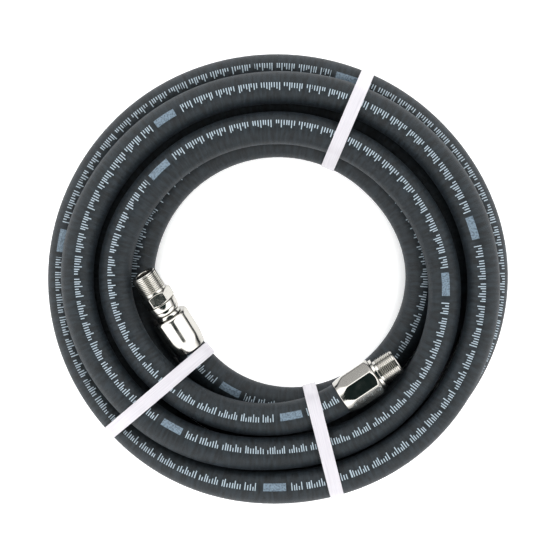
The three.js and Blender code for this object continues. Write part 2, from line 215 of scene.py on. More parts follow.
def coil_route():
    """The centre line of the coiled hose, and the angle at each of its points."""
    count = round((END_ANGLE - START_ANGLE) / ANGLE_STEP)
    angles = START_ANGLE + ANGLE_STEP * np.arange(count + 1)
    radii = np.array([coil_radius(a) for a in angles])
    plan = on_plan(angles, radii)
    heights = pile_heights(radii)
    near = 90 / ANGLE_STEP
    for i, point in enumerate(plan):
        for origin, end, close in (
            (FIXED_ORIGIN, FIXED_END, i < near), (SWIVEL_ORIGIN, SWIVEL_END, i > count - near)
        ):
            if close:
                away = math.hypot(*(point - origin)[:2])
                heights[i] = max(heights[i], end["height"] - away * math.tan(math.radians(end["climb"])))
    lead = 2 * SMOOTHING
    before = [(FIXED_ORIGIN + FIXED_AXIS * (lead - i) * 9)[2] for i in range(lead)]
    after = [(SWIVEL_ORIGIN + SWIVEL_AXIS * (i + 1) * 8)[2] for i in range(lead)]
    plan[:, 2] = smoothed(before + heights + after, SMOOTHING)[lead:lead + count + 1]
    return plan, angles


def lengths_of(points):
    """The distance along a line to each of its points."""
    return np.concatenate([[0], np.cumsum(np.linalg.norm(np.diff(points, axis=0), axis=1))])


def spaced(points, spacing, values=None):
    """Points along a line of points, a set distance apart; with values, those too."""
    lengths = lengths_of(points)
    want = np.linspace(0, lengths[-1], round(lengths[-1] / spacing) + 1)
    line = np.stack([np.interp(want, lengths, points[:, k]) for k in range(3)], -1)
    if values is None:
        return line
    return line, np.interp(want, lengths, values)


def rounded_line(points, passes):
    """Softens the corners of a line of evenly spaced points, its ends kept."""
    line = points.copy()
    for _ in range(passes):
        line[1:-1] = 0.25 * line[:-2] + 0.5 * line[1:-1] + 0.25 * line[2:]
    return line


coil, coil_angles = coil_route()
joint_at = np.array(frame["joints"][0]["pos_m"]) / MM
SHIFT = joint_at - (SWIVEL_ORIGIN + SWIVEL_AXIS * SWIVEL_TIP)

raw_route = np.concatenate([
    [FIXED_ORIGIN + FIXED_AXIS * inside for inside in (HOSE_INSERTION, 4, -2)],
    coil[1:-1],
    [SWIVEL_ORIGIN + SWIVEL_AXIS * inside for inside in (-2, 4, HOSE_INSERTION)],
]) + SHIFT
raw_angles = np.concatenate([
    [START_ANGLE - 2, START_ANGLE - 1, START_ANGLE - 0.5], coil_angles[1:-1],
    [END_ANGLE + 0.5, END_ANGLE + 1, END_ANGLE + 2],
])
route, route_angles = spaced(raw_route, ROUTE_SPACING, raw_angles)
route = rounded_line(route, ROUTE_PASSES)


# Small helpers
def linear(hex_colour):
    """An sRGB hex colour as the linear RGBA that a shader takes."""
    channels = [int(hex_colour[i:i + 2], 16) / 255 for i in (1, 3, 5)]
    return tuple(c / 12.92 if c <= 0.04045 else ((c + 0.055) / 1.055) ** 2.4 for c in channels) + (1.0,)


def add(tree, kind, inputs=None, **settings):
    """One node with its settings; an input is a value or another node's output."""
    made = tree.nodes.new(kind)
    for name, value in settings.items():
        setattr(made, name, value)
    for key, value in (inputs or {}).items():
        if isinstance(value, bpy.types.NodeSocket):
            tree.links.new(value, made.inputs[key])
        else:
            made.inputs[key].default_value = value
    return made


def mesh_object(name, points, faces, corner_uv=None, material=None):
    """An object whose points are given in millimetres; corner_uv has one pair for each face corner."""
    mesh = bpy.data.meshes.new(name)
    mesh.from_pydata((np.asarray(points) * MM).tolist(), [], faces)
    if corner_uv is not None:
        layer = mesh.uv_layers.new(name="UVMap")
        layer.data.foreach_set("uv", np.asarray(corner_uv, np.float32).ravel())
    mesh.polygons.foreach_set("use_smooth", [True] * len(mesh.polygons))
    if material:
        mesh.materials.append(material)
    made = bpy.data.objects.new(name, mesh)
    bpy.context.scene.collection.objects.link(made)
    return made


def wound(name, rows, material, segments=160):
    """A closed body round +Z: each row is (radius, height), where the radius may vary round the turn."""
    theta = np.arange(segments) * 2 * math.pi / segments
    rings, along, run = [], [], 0.0
    previous = None
    for radius, height in rows:
        radius = np.broadcast_to(radius, segments)
        level = np.full(segments, height)
        rings.append(np.stack([radius * np.cos(theta), radius * np.sin(theta), level], -1))
        here = np.array([radius.mean(), height])
        run += 0 if previous is None else float(np.linalg.norm(here - previous))
        previous = here
        along.append(run)
    count = len(rows)
    faces, uv = [], []
    for i in range(count):
        j = (i + 1) % count
        v0, v1 = along[i] * MM, (along[j] if j else run + 1) * MM
        for k in range(segments):
            m = (k + 1) % segments
            faces.append((i * segments + k, i * segments + m, j * segments + m, j * segments + k))
            u0, u1 = k / segments, (k + 1) / segments
            uv += [(u0, v0), (u1, v0), (u1, v1), (u0, v1)]
    made = mesh_object(name, np.concatenate(rings), faces, uv, material)
    return made


def crown(points, radius, steps=4):
    """Rows (radius, height) through the given corners, each corner rounded off."""
    rows = []
    for i, here in enumerate(points):
        here = np.array(here, float)
        back = np.array(points[i - 1], float) - here
        on = np.array(points[(i + 1) % len(points)], float) - here
        cut = min(radius, 0.45 * np.linalg.norm(back), 0.45 * np.linalg.norm(on))
        start = here + back / np.linalg.norm(back) * cut
        end = here + on / np.linalg.norm(on) * cut
        for t in np.linspace(0, 1, steps):
            rows.append(tuple((1 - t) ** 2 * start + 2 * t * (1 - t) * here + t**2 * end))
    return rows


def softer_of(*sizes, blend=0.12):
    """The smaller of several radii, with the edge between them rounded."""
    total = sum(np.exp(-np.asarray(size) / blend) for size in np.broadcast_arrays(*sizes))
    return -blend * np.log(total)


def flats_round(flats, sides, first, segments=160):
    """Radius of a regular prism at each angle, its first flat facing the angle first."""
    theta = np.arange(segments) * 2 * math.pi / segments
    step = 2 * math.pi / sides
    off = (theta - first + step / 2) % step - step / 2
    return flats / 2 / np.cos(off)


def place_on_axis(made, origin, axis):
    """Takes a body made along +Z to a fitting's axis, its own +Y as far up as it can be."""
    side = np.cross([0, 0, 1], axis)
    side /= np.linalg.norm(side)
    up = np.cross(axis, side)
    matrix = Matrix([
        [side[k], up[k], axis[k], (origin[k] + SHIFT[k]) * MM] for k in range(3)
    ] + [[0, 0, 0, 1]])
    made.data.transform(matrix)


def finished(made, tree, inputs, name):
    """Runs a node tree on an object and leaves its result as a plain mesh object."""
    modifier = made.modifiers.new(tree.name, "NODES")
    modifier.node_group = tree
    for socket in tree.interface.items_tree:
        if socket.item_type == "SOCKET" and socket.in_out == "INPUT" and socket.name in inputs:
            modifier[socket.identifier] = inputs[socket.name]
    bpy.context.view_layer.update()
    evaluated = made.evaluated_get(bpy.context.evaluated_depsgraph_get())
    mesh = bpy.data.meshes.new_from_object(evaluated)
    made.modifiers.remove(modifier)
    result = bpy.data.objects.new(name, mesh)
    bpy.context.scene.collection.objects.link(result)
    return result


def new_tree(name, inputs):
    """A geometry tree with named inputs: (name, socket kind, default)."""
    tree = bpy.data.node_groups.new(name, "GeometryNodeTree")
    tree.interface.new_socket("Geometry", in_out="INPUT", socket_type="NodeSocketGeometry")
    tree.interface.new_socket("Geometry", in_out="OUTPUT", socket_type="NodeSocketGeometry")
    for title, kind, default in inputs:
        socket = tree.interface.new_socket(title, in_out="INPUT", socket_type=kind)
        if default is not None:
            socket.default_value = default
    return tree, tree.nodes.new("NodeGroupInput"), tree.nodes.new("NodeGroupOutput")


# Materials
def wrapped_rubber():
    """Nitrile rubber cured under a wrapped cloth: a dull near-black skin with a fine slanting ripple."""
    material = bpy.data.materials.new("nitrile_rubber_wrapped")
    material.use_nodes = True
    tree = material.node_tree
    shader = tree.nodes["Principled BSDF"]
    shader.inputs["Roughness"].default_value = 0.55
    shader.inputs["IOR"].default_value = 1.5
    shader.inputs["Sheen Weight"].default_value = 0.06
    shader.inputs["Sheen Roughness"].default_value = 0.5
    shader.inputs["Sheen Tint"].default_value = linear("#aab4c4")
    uv = add(tree, "ShaderNodeUVMap", uv_map="UVMap").outputs[0]
    # The cloth leaves uneven ripples some 3.2 mm long that run a sixth of the way round
    slant = add(tree, "ShaderNodeMapping", {"Vector": uv, "Scale": (1 / 0.0032, 6.0, 1.0)}).outputs[0]
    ripple = add(tree, "ShaderNodeTexNoise", {"Vector": slant, "Scale": 1.0, "Detail": 2.5}).outputs["Fac"]
    place = add(tree, "ShaderNodeTexCoord").outputs["Object"]
    # Mottling of the skin, some 6 mm across, and a grain of about 0.8 mm
    mottle = add(tree, "ShaderNodeTexNoise", {"Vector": place, "Scale": 160.0, "Detail": 4.0}).outputs["Fac"]
    grain = add(tree, "ShaderNodeTexNoise", {"Vector": place, "Scale": 1200.0, "Detail": 2.0}).outputs["Fac"]
    height = add(tree, "ShaderNodeMath", {0: grain, 1: 0.35, 2: ripple}, operation="MULTIPLY_ADD").outputs[0]
    bump = add(tree, "ShaderNodeBump", {"Height": height, "Strength": 1.0, "Distance": 0.0009}).outputs[0]
    tree.links.new(bump, shader.inputs["Normal"])
    tone = add(tree, "ShaderNodeValToRGB", {"Fac": mottle})
    tone.color_ramp.elements[0].position = 0.3
    tone.color_ramp.elements[0].color = linear("#0e1417")
    tone.color_ramp.elements[1].position = 0.72
    tone.color_ramp.elements[1].color = linear("#171f24")
    faint = add(tree, "ShaderNodeMapRange", {
        "Value": ripple, "From Min": 0.38, "From Max": 0.66, "To Max": 0.7,
    }).outputs[0]
    dark = add(tree, "ShaderNodeMix", {
        "Factor": faint, "A": tone.outputs[0], "B": linear("#29333a"),
    }, data_type="RGBA", blend_type="MIX")
    tree.links.new(dark.outputs["Result"], shader.inputs["Base Color"])
    return material


def layline_ink():
    """Printed transfer ink on rubber: matt pale grey-blue, thin enough for the rubber to grey it."""
    material = bpy.data.materials.new("printing_ink_transfer")
    material.use_nodes = True
    tree = material.node_tree
    shader = tree.nodes["Principled BSDF"]
    shader.inputs["Roughness"].default_value = 0.55
    shader.inputs["IOR"].default_value = 1.5
    place = add(tree, "ShaderNodeTexCoord").outputs["Object"]
    # Ink coverage varies over about 1.5 mm
    cover = add(tree, "ShaderNodeTexNoise", {"Vector": place, "Scale": 650.0, "Detail": 3.0}).outputs["Fac"]
    tone = add(tree, "ShaderNodeValToRGB", {"Fac": cover})
    tone.color_ramp.elements[0].position = 0.32
    tone.color_ramp.elements[0].color = linear("#525f6b")
    tone.color_ramp.elements[1].position = 0.6
    tone.color_ramp.elements[1].color = linear("#7b8c99")
    # The solid bars print thinner than the strokes, and so look darker
    bar = add(tree, "ShaderNodeAttribute", attribute_name="solid_bar").outputs["Fac"]
    strokes = add(tree, "ShaderNodeMix", {
        "Factor": 0.75, "A": tone.outputs[0], "B": linear("#b9c7d0"),
    }, data_type="RGBA").outputs["Result"]
    ink = add(tree, "ShaderNodeMix", {
        "Factor": bar, "A": strokes, "B": tone.outputs[0],
    }, data_type="RGBA").outputs["Result"]
    tree.links.new(ink, shader.inputs["Base Color"])
    return material


def nickel_plate():
    """Bright nickel over turned steel: a mirror with very fine turning marks, faintly warm."""
    material = bpy.data.materials.new("nickel_plate_on_turned_steel")
    material.use_nodes = True
    tree = material.node_tree
    shader = tree.nodes["Principled BSDF"]
    shader.inputs["Metallic"].default_value = 1.0
    shader.inputs["Base Color"].default_value = linear("#bdbbb6")
    uv = add(tree, "ShaderNodeUVMap", uv_map="UVMap").outputs[0]
    # Turning marks every 0.3 mm, coarser than the real 0.1 mm so that they show
    rings = add(tree, "ShaderNodeMapping", {"Vector": uv, "Scale": (0.6, 1 / 0.0003, 1.0)}).outputs[0]
    marks = add(tree, "ShaderNodeTexNoise", {"Vector": rings, "Scale": 1.0, "Detail": 2.0}).outputs["Fac"]
    place = add(tree, "ShaderNodeTexCoord").outputs["Object"]
    # Slight unevenness of the plating, some 8 mm across
    cloud = add(tree, "ShaderNodeTexNoise", {"Vector": place, "Scale": 120.0, "Detail": 3.0}).outputs["Fac"]
    rough = add(tree, "ShaderNodeMapRange", {
        "Value": cloud, "From Min": 0.3, "From Max": 0.7, "To Min": 0.1, "To Max": 0.22,
    }).outputs[0]
    tree.links.new(rough, shader.inputs["Roughness"])
    bump = add(tree, "ShaderNodeBump", {"Height": marks, "Strength": 0.25, "Distance": 0.00003}).outputs[0]
    tree.links.new(bump, shader.inputs["Normal"])
    return material


def strap_polypropylene():
    """Extruded polypropylene strapping: milky white, satin, with faint lines along its length."""
    material = bpy.data.materials.new("polypropylene_strapping_extruded")
    material.use_nodes = True
    tree = material.node_tree
    shader = tree.nodes["Principled BSDF"]
    shader.inputs["Roughness"].default_value = 0.42
    shader.inputs["IOR"].default_value = 1.49
    shader.inputs["Subsurface Weight"].default_value = 0.15
    shader.inputs["Subsurface Radius"].default_value = (0.002, 0.002, 0.002)
    shader.inputs["Subsurface Scale"].default_value = 1.0
    uv = add(tree, "ShaderNodeUVMap", uv_map="UVMap").outputs[0]
    # Drawing lines 0.9 mm apart across the strap
    lines = add(tree, "ShaderNodeMapping", {"Vector": uv, "Scale": (30.0, 1 / 0.0009, 1.0)}).outputs[0]
    drawn = add(tree, "ShaderNodeTexNoise", {"Vector": lines, "Scale": 1.0, "Detail": 1.0}).outputs["Fac"]
    tone = add(tree, "ShaderNodeValToRGB", {"Fac": drawn})
    tone.color_ramp.elements[0].position = 0.35
    tone.color_ramp.elements[0].color = linear("#cdcad0")
    tone.color_ramp.elements[1].position = 0.65
    tone.color_ramp.elements[1].color = linear("#d6d3d8")
    tree.links.new(tone.outputs[0], shader.inputs["Base Color"])
    bump = add(tree, "ShaderNodeBump", {"Height": drawn, "Strength": 0.3, "Distance": 0.00004}).outputs[0]
    tree.links.new(bump, shader.inputs["Normal"])
    return material


RUBBER = wrapped_rubber()
INK = layline_ink()
NICKEL = nickel_plate()
STRAPPING = strap_polypropylene()


# Hose and its printed line
def route_line():
    """The route as a line of points that carries the print's distance and lean."""
    lengths = lengths_of(route)
    bars = np.array([a for a, _ in BAR_STATIONS], float)
    bar_lengths = np.interp(bars, route_angles, lengths) - BAR_LENGTH / 2
    more = np.arange(1, 12) * PRINT_PERIOD
    bar_lengths = np.concatenate([[bar_lengths[0] - PRINT_PERIOD], bar_lengths, bar_lengths[-1] + more])
    marks = np.arange(len(bar_lengths)) * PRINT_PERIOD
    printed = np.interp(lengths, bar_lengths, marks)
    lean = np.interp(route_angles, *zip(*BAR_STATIONS, *LOWER_LEANS))
    mesh = bpy.data.meshes.new("route")
    mesh.from_pydata((route * MM).tolist(), [(i, i + 1) for i in range(len(route) - 1)], [])
    for title, values in (("printed", printed * MM), ("lean", -np.radians(lean))):
        layer = mesh.attributes.new(title, "FLOAT", "POINT")
        layer.data.foreach_set("value", np.asarray(values, np.float32))
    made = bpy.data.objects.new("route", mesh)
    bpy.context.scene.collection.objects.link(made)
    return made


def leaning_curve(tree, source, spacing):
    """The route as a curve with level normals, leaned as the print leans, in even steps."""
    curve = add(tree, "GeometryNodeMeshToCurve", {"Mesh": source}).outputs[0]
    level = add(tree, "GeometryNodeSetCurveNormal", {"Curve": curve})
    level.mode = "Z_UP"
    lean = add(tree, "GeometryNodeInputNamedAttribute", {"Name": "lean"}, data_type="FLOAT").outputs[0]
    tilted = add(tree, "GeometryNodeSetCurveTilt", {"Curve": level.outputs[0], "Tilt": lean}).outputs[0]
    even = add(tree, "GeometryNodeResampleCurve", {"Curve": tilted, "Length": spacing}, mode="LENGTH")
    return even.outputs[0]


def swept(tree, curve, profile):
    """Sweeps a profile along a curve, with its length and turn kept as the UV map of the corners."""
    run = add(tree, "GeometryNodeSplineParameter").outputs["Length"]
    turn = add(tree, "GeometryNodeSplineParameter").outputs["Factor"]
    kept = add(tree, "GeometryNodeStoreNamedAttribute", {"Geometry": curve, "Name": "run", "Value": run},
               data_type="FLOAT", domain="POINT").outputs[0]
    ring = add(tree, "GeometryNodeStoreNamedAttribute", {"Geometry": profile, "Name": "turn", "Value": turn},
               data_type="FLOAT", domain="POINT").outputs[0]
    skin = add(tree, "GeometryNodeCurveToMesh", {"Curve": kept, "Profile Curve": ring}).outputs[0]
    run_on = add(tree, "GeometryNodeInputNamedAttribute", {"Name": "run"}, data_type="FLOAT").outputs[0]
    turn_on = add(tree, "GeometryNodeInputNamedAttribute", {"Name": "turn"}, data_type="FLOAT").outputs[0]
    both = add(tree, "ShaderNodeCombineXYZ", {"X": run_on, "Y": turn_on}).outputs[0]
    return add(tree, "GeometryNodeStoreNamedAttribute", {"Geometry": skin, "Name": "UVMap", "Value": both},
               data_type="FLOAT2", domain="CORNER").outputs[0]


def hose_tree():
    """The skin of the hose, swept along its route."""
    tree, given, result = new_tree("hose_skin", [
        ("Radius", "NodeSocketFloat", HOSE_OUTER / 2 * MM), ("Spacing", "NodeSocketFloat", 8 * MM),
        ("Sides", "NodeSocketInt", 40), ("Material", "NodeSocketMaterial", None),
    ])
    curve = leaning_curve(tree, given.outputs["Geometry"], given.outputs["Spacing"])
    points = add(tree, "ShaderNodeMath", {0: given.outputs["Sides"], 1: 1.0}, operation="ADD").outputs[0]
    profile = add(tree, "GeometryNodeCurveArc", {
        "Resolution": points, "Radius": given.outputs["Radius"],
        "Start Angle": math.pi / 2, "Sweep Angle": 2 * math.pi,
    }).outputs[0]
    skin = swept(tree, curve, profile)
    closed = add(tree, "GeometryNodeMergeByDistance", {"Geometry": skin, "Distance": 1e-5}).outputs[0]
    smooth = add(tree, "GeometryNodeSetShadeSmooth", {"Geometry": closed}).outputs[0]
    real = add(tree, "GeometryNodeRealizeInstances", {"Geometry": smooth}).outputs[0]
    last = add(tree, "GeometryNodeSetMaterial", {"Geometry": real, "Material": given.outputs["Material"]})
    tree.links.new(last.outputs[0], result.inputs[0])
    return tree


def print_tree():
    """Strokes of ink along the hose: a plain bar each period, then a scale of long and short strokes."""
    tree, given, result = new_tree("layline", [
        ("Radius", "NodeSocketFloat", (HOSE_OUTER / 2 + INK_LIFT) * MM),
        ("Height", "NodeSocketFloat", PRINT_HEIGHT * MM),
        ("Period", "NodeSocketFloat", PRINT_PERIOD * MM), ("Bar", "NodeSocketFloat", BAR_LENGTH * MM),
        ("Stroke pitch", "NodeSocketFloat", 2.4 * MM), ("Stroke share", "NodeSocketFloat", 0.42),
        ("Step", "NodeSocketFloat", 0.5 * MM), ("Seed", "NodeSocketInt", 5),
        ("Material", "NodeSocketMaterial", None),
    ])

    def math_of(operation, *values):
        return add(tree, "ShaderNodeMath", dict(enumerate(values)), operation=operation).outputs[0]

    curve = leaning_curve(tree, given.outputs["Geometry"], given.outputs["Step"])
    sweep = math_of("DIVIDE", given.outputs["Height"], given.outputs["Radius"])
    start = math_of("MULTIPLY_ADD", sweep, -0.5, -math.pi / 2)
    profile = add(tree, "GeometryNodeCurveArc", {
        "Resolution": 7, "Radius": given.outputs["Radius"], "Start Angle": start, "Sweep Angle": sweep,
    }).outputs[0]
    ribbon = swept(tree, curve, profile)
    printed = add(tree, "GeometryNodeInputNamedAttribute", {"Name": "printed"}, data_type="FLOAT").outputs[0]
    turn = add(tree, "GeometryNodeInputNamedAttribute", {"Name": "turn"}, data_type="FLOAT").outputs[0]
    within = math_of("MODULO", printed, given.outputs["Period"])
    in_bar = math_of("LESS_THAN", within, given.outputs["Bar"])
    after_bar = math_of("GREATER_THAN", within, math_of("ADD", given.outputs["Bar"], 6 * MM))
    before_end = math_of("LESS_THAN", within, math_of("SUBTRACT", given.outputs["Period"], 5 * MM))
    cells = math_of("DIVIDE", within, given.outputs["Stroke pitch"])
    cell = math_of("FLOOR", cells)
    stroke = math_of("LESS_THAN", math_of("FRACT", cells), given.outputs["Stroke share"])
    group = math_of("FLOOR", math_of("DIVIDE", cell, 9.0))
    gap = math_of("GREATER_THAN", math_of("SUBTRACT", cell, math_of("MULTIPLY", group, 9.0)), 7.5)
    long_stroke = math_of("LESS_THAN", math_of("MODULO", cell, 4.0), 0.5)
    draw = add(tree, "FunctionNodeRandomValue", {
        "Min": 0.5, "Max": 0.85, "ID": cell, "Seed": given.outputs["Seed"],
    }, data_type="FLOAT")
    reach = add(tree, "ShaderNodeMix", {
        "Factor": long_stroke, "A": draw.outputs[1], "B": 2.0,
    }, data_type="FLOAT")
    tall = math_of("LESS_THAN", turn, reach.outputs["Result"])
    strokes = math_of("MULTIPLY", math_of("MULTIPLY", stroke, tall), math_of("SUBTRACT", 1.0, gap))
    strokes = math_of("MULTIPLY", strokes, math_of("MULTIPLY", after_bar, before_end))
    inked = math_of("MAXIMUM", in_bar, strokes)
    bare = math_of("LESS_THAN", inked, 0.5)
    marked = add(tree, "GeometryNodeStoreNamedAttribute", {
        "Geometry": ribbon, "Name": "solid_bar", "Value": in_bar,
    }, data_type="FLOAT", domain="FACE").outputs[0]
    left = add(tree, "GeometryNodeDeleteGeometry", {
        "Geometry": marked, "Selection": bare,
    }, domain="FACE").outputs[0]
    real = add(tree, "GeometryNodeRealizeInstances", {"Geometry": left}).outputs[0]
    last = add(tree, "GeometryNodeSetMaterial", {"Geometry": real, "Material": given.outputs["Material"]})
    tree.links.new(last.outputs[0], result.inputs[0])
    return tree


line = route_line()
hose = finished(line, hose_tree(), {"Material": RUBBER}, "rubber_hose")
wall = hose.modifiers.new("wall", "SOLIDIFY")
wall.thickness = (HOSE_OUTER - HOSE_BORE) / 2 * MM
wall.offset = -1.0
layline = finished(line, print_tree(), {"Material": INK}, "printed_layline")
bpy.data.objects.remove(line)


# Fittings
def ferrule(name, length, first_flat, across_ridges):
    """A crimped sleeve: eight flats pressed into a turned sleeve, a long cone at its mouth."""
    flats = flats_round(FERRULE_FLATS, 8, first_flat)
    turned = across_ridges / 2
    rows = []
    heights = np.concatenate([
        [0.0, 0.12, 0.35, 0.7], np.arange(1.2, 14, 0.4), np.arange(14, length - 3.2, 1.6),
        np.linspace(length - 3, length - 0.4, 10), [length - 0.15, length],
    ])
    for height in heights:
        cone = FERRULE_MOUTH / 2 + (turned + 0.15 - FERRULE_MOUTH / 2) * height / FERRULE_CONE
        chamfer = FERRULE_FLATS / 2 - 0.8 + (length - height) * 0.7
        radius = softer_of(cone, flats, turned, chamfer)
        edge = min(height, length - height)
        radius = radius - 0.4 * max(0.0, 1 - edge / 0.35) ** 2
        rows.append((radius, height))
    bore, neck = FERRULE_BORE / 2, STEM_NECK / 2 + FIT
    rows += [(neck + 0.3, length), (neck, length - 0.3), (neck, HOSE_INSERTION + FIT)]
    rows += [(bore, HOSE_INSERTION + FIT), (bore, 0.4), (bore + 0.3, 0.0)]
    return wound(name, rows, NICKEL)


def thread_tree():
    """Adds a pipe thread's helical ridge to a turned body along +Z."""
    tree, given, result = new_tree("pipe_thread", [
        ("Start", "NodeSocketFloat", 0.0), ("Turns", "NodeSocketFloat", float(THREAD_TURNS)),
        ("Pitch", "NodeSocketFloat", THREAD_PITCH * MM),
        ("Outer radius", "NodeSocketFloat", THREAD_OUTER / 2 * MM),
        ("Depth", "NodeSocketFloat", THREAD_DEPTH * MM), ("Taper", "NodeSocketFloat", THREAD_TAPER),
        ("Material", "NodeSocketMaterial", None),
    ])

    def math_of(operation, *values):
        return add(tree, "ShaderNodeMath", dict(enumerate(values)), operation=operation).outputs[0]

    height = math_of("MULTIPLY", given.outputs["Turns"], given.outputs["Pitch"])
    root = math_of("SUBTRACT", given.outputs["Outer radius"], given.outputs["Depth"])
    root = math_of("SUBTRACT", root, 0.08 * MM)
    end_root = math_of("SUBTRACT", root, math_of("MULTIPLY", height, given.outputs["Taper"]))
    helix = add(tree, "GeometryNodeCurveSpiral", {
        "Resolution": 64, "Rotations": given.outputs["Turns"], "Start Radius": root,
        "End Radius": end_root, "Height": height,
    }).outputs[0]
    lift = add(tree, "ShaderNodeCombineXYZ", {"Z": given.outputs["Start"]}).outputs[0]
    raised = add(tree, "GeometryNodeTransform", {"Geometry": helix, "Translation": lift}).outputs[0]
    level = add(tree, "GeometryNodeSetCurveNormal", {"Curve": raised})
    level.mode = "Z_UP"
    run = add(tree, "GeometryNodeSplineParameter").outputs["Factor"]
    fade_in = add(tree, "ShaderNodeMapRange", {"Value": run, "From Max": 0.05}).outputs[0]
    fade_out = add(tree, "ShaderNodeMapRange", {"Value": run, "From Min": 0.965, "From Max": 1.0,
                                                 "To Min": 1.0, "To Max": 0.0}).outputs[0]
    full = math_of("MAXIMUM", math_of("MULTIPLY", fade_in, fade_out), 0.05)
    sized = add(tree, "GeometryNodeSetCurveRadius", {"Curve": level.outputs[0], "Radius": full}).outputs[0]
    ridge = add(tree, "GeometryNodeCurvePrimitiveQuadrilateral", {
        "Bottom Width": math_of("MULTIPLY", given.outputs["Pitch"], 0.94),
        "Top Width": math_of("MULTIPLY", given.outputs["Pitch"], 0.14),
        "Height": math_of("ADD", given.outputs["Depth"], 0.08 * MM), "Offset": 0.0,
    }, mode="TRAPEZOID").outputs[0]
    half = math_of("MULTIPLY", given.outputs["Depth"], 0.5)
    # The profile's own X points to the thread's axis
    outwards = add(tree, "ShaderNodeCombineXYZ", {"X": math_of("MULTIPLY", half, -1.0)}).outputs[0]
    profile = add(tree, "GeometryNodeTransform", {
        "Geometry": ridge, "Rotation": (0.0, 0.0, math.pi / 2), "Translation": outwards,
    }).outputs[0]
    thread = add(tree, "GeometryNodeCurveToMesh", {
        "Curve": sized, "Profile Curve": profile, "Fill Caps": True,
    })
    if "Scale" in thread.inputs:
        tree.links.new(full, thread.inputs["Scale"])
    flat = add(tree, "GeometryNodeSetShadeSmooth", {
        "Geometry": thread.outputs[0], "Shade Smooth": False,
    }).outputs[0]
    both = add(tree, "GeometryNodeJoinGeometry")
    tree.links.new(given.outputs["Geometry"], both.inputs[0])
    tree.links.new(flat, both.inputs[0])
    real = add(tree, "GeometryNodeRealizeInstances", {"Geometry": both.outputs[0]}).outputs[0]
    last = add(tree, "GeometryNodeSetMaterial", {"Geometry": real, "Material": given.outputs["Material"]})
    tree.links.new(last.outputs[0], result.inputs[0])
    return tree


THREAD = thread_tree()


def threaded(body, start, name):
    """A turned body with the ridge of its thread, from the height start."""
    made = finished(body, THREAD, {"Start": start * MM, "Material": NICKEL}, name)
    bpy.data.objects.remove(body)
    return made


def thread_core(start):
    """Corners of a thread's core from its start to the chamfered tip."""
    root = THREAD_OUTER / 2 - THREAD_DEPTH
    tip = start + THREAD_LENGTH
    end_root = root - THREAD_TURNS * THREAD_PITCH * THREAD_TAPER
    return [(root, start), (end_root + 0.3, tip - 1.6), (end_root - 0.5, tip)]


def fixed_nipple():
    """The rigid end: its tail in the hose, its collar and its male thread."""
    shoulder = FIXED_FERRULE_LENGTH + FIT
    start = shoulder + COLLAR_LENGTH + THREAD_RELIEF
    corners = [
        (FLOW_BORE / 2, 4), (STEM_OUTER / 2, 4), (STEM_OUTER / 2, HOSE_INSERTION + FIT),
        (STEM_NECK / 2, HOSE_INSERTION + FIT), (STEM_NECK / 2, shoulder), (COLLAR_OUTER / 2, shoulder),
        (COLLAR_OUTER / 2, shoulder + COLLAR_LENGTH),
        (THREAD_OUTER / 2 - THREAD_DEPTH, shoulder + COLLAR_LENGTH), *thread_core(start),
        (FLOW_BORE / 2 + 0.8, start + THREAD_LENGTH), (FLOW_BORE / 2, start + THREAD_LENGTH - 0.8),
    ]
    body = wound("fixed_nipple_body", crown(corners, 0.35), NICKEL, 128)
    return threaded(body, start, "rigid_nipple")


def swivel_stem():
    """The tail in the hose, the waisted neck and the spigot that the nipple turns on."""
    shoulder = SWIVEL_FERRULE_LENGTH + FIT
    neck_end = shoulder + SWIVEL_NECK_LENGTH
    waist, outer = SWIVEL_NECK_WAIST / 2, SWIVEL_NECK_OUTER / 2
    corners = [
        (FLOW_BORE / 2, 4), (STEM_OUTER / 2, 4), (STEM_OUTER / 2, HOSE_INSERTION + FIT),
        (STEM_NECK / 2, HOSE_INSERTION + FIT), (STEM_NECK / 2, shoulder), (waist + 0.4, shoulder),
        (waist, shoulder + 1.2), (waist, shoulder + 3.4), (outer - 0.4, shoulder + 4.6),
        (outer, shoulder + 6), (outer, neck_end), (SPIGOT_OUTER / 2, neck_end),
        (SPIGOT_OUTER / 2, neck_end + SPIGOT_LENGTH),
        (FLOW_BORE / 2, neck_end + SPIGOT_LENGTH),
    ]
    return wound("stem_with_neck", crown(corners, 0.5), NICKEL, 128)


